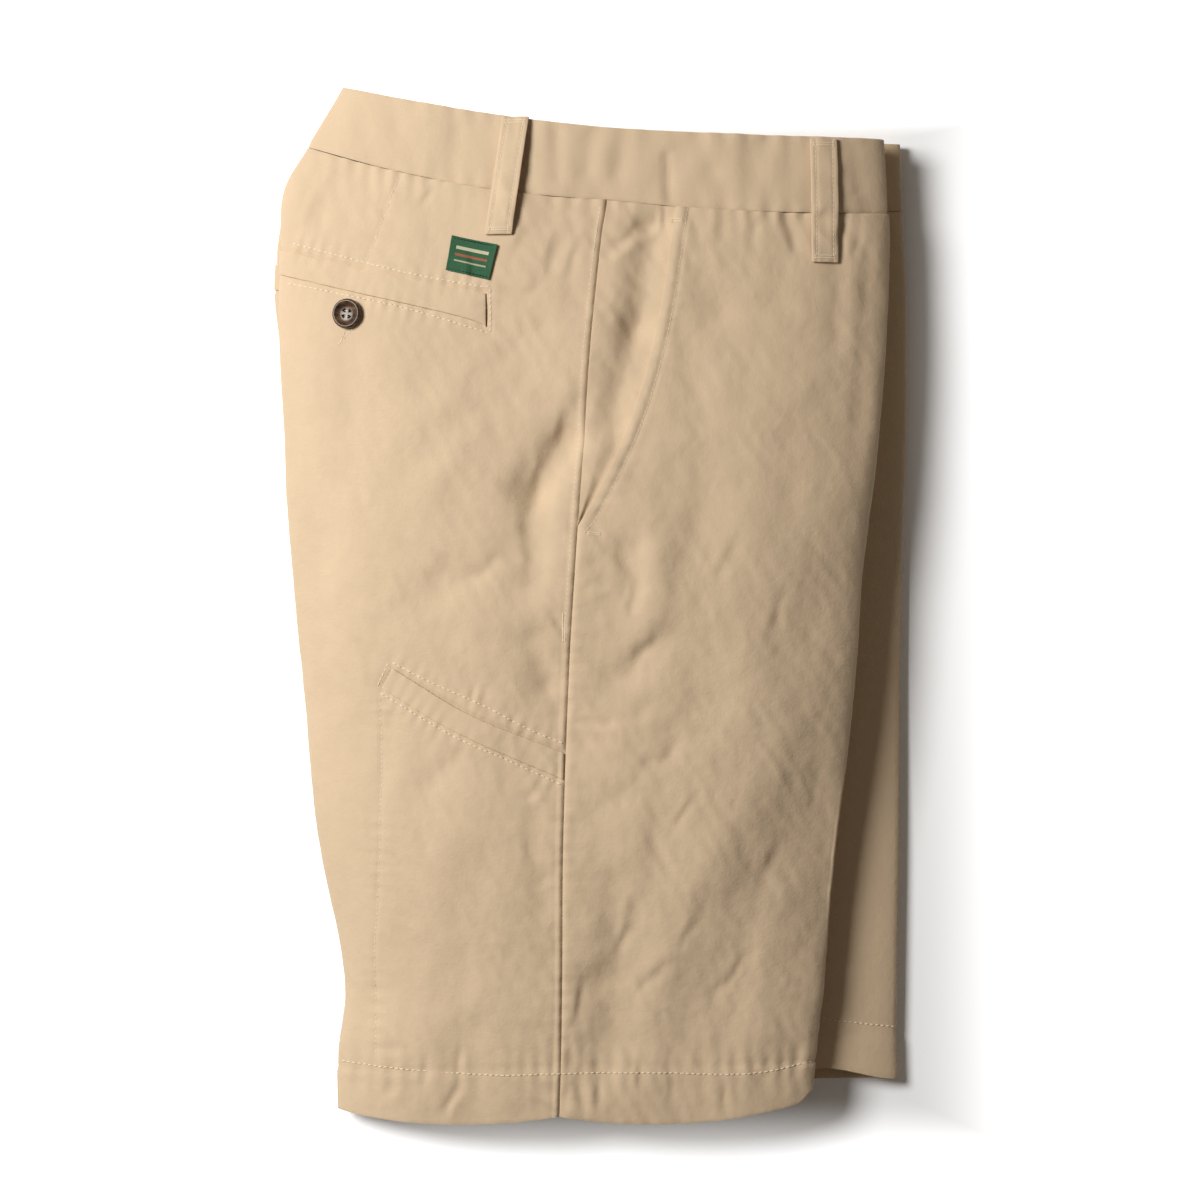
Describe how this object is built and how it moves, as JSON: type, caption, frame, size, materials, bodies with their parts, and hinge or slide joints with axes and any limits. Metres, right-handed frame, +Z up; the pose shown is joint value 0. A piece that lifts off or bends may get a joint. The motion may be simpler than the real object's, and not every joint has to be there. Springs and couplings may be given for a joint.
{
  "type": "chino shorts",
  "caption": "Cotton chino shorts lying on their side, folded along the front and back creases, with slant pocket, welt pockets, belt loops and a horn button.",
  "frame": {"origin": "middle of the bottom of the bounding box, on the surface that the shorts lie on", "axes": "+Y towards the waist, along the length; +X towards the front creases; +Z up from the surface, through the thickness"},
  "size_m": [0.3218, 0.5198, 0.055],
  "materials": {
    "twill": "washed cotton twill, matt",
    "waistband_twill": "washed cotton twill, matt",
    "horn_button": "dark brown horn with lighter streaks",
    "woven_label": "dense green woven ribbon with plain bars"
  },
  "bodies": {
    "root": {"front_right": "twill", "back_right": "twill", "waistband_right": "waistband_twill", "pocket_facing_right": "twill", "back_welt_right": "twill", "loop_front_right": "twill", "loop_side_back_right": "twill", "back_button_right": "horn_button", "front_left": "twill", "back_left": "twill", "waistband_left": "waistband_twill", "pocket_facing_left": "twill", "back_welt_left": "twill", "loop_front_left": "twill", "loop_side_back_left": "twill", "back_button_left": "horn_button", "thigh_welt_right": "twill", "label_right": "woven_label"}
  },
  "joints": []
}
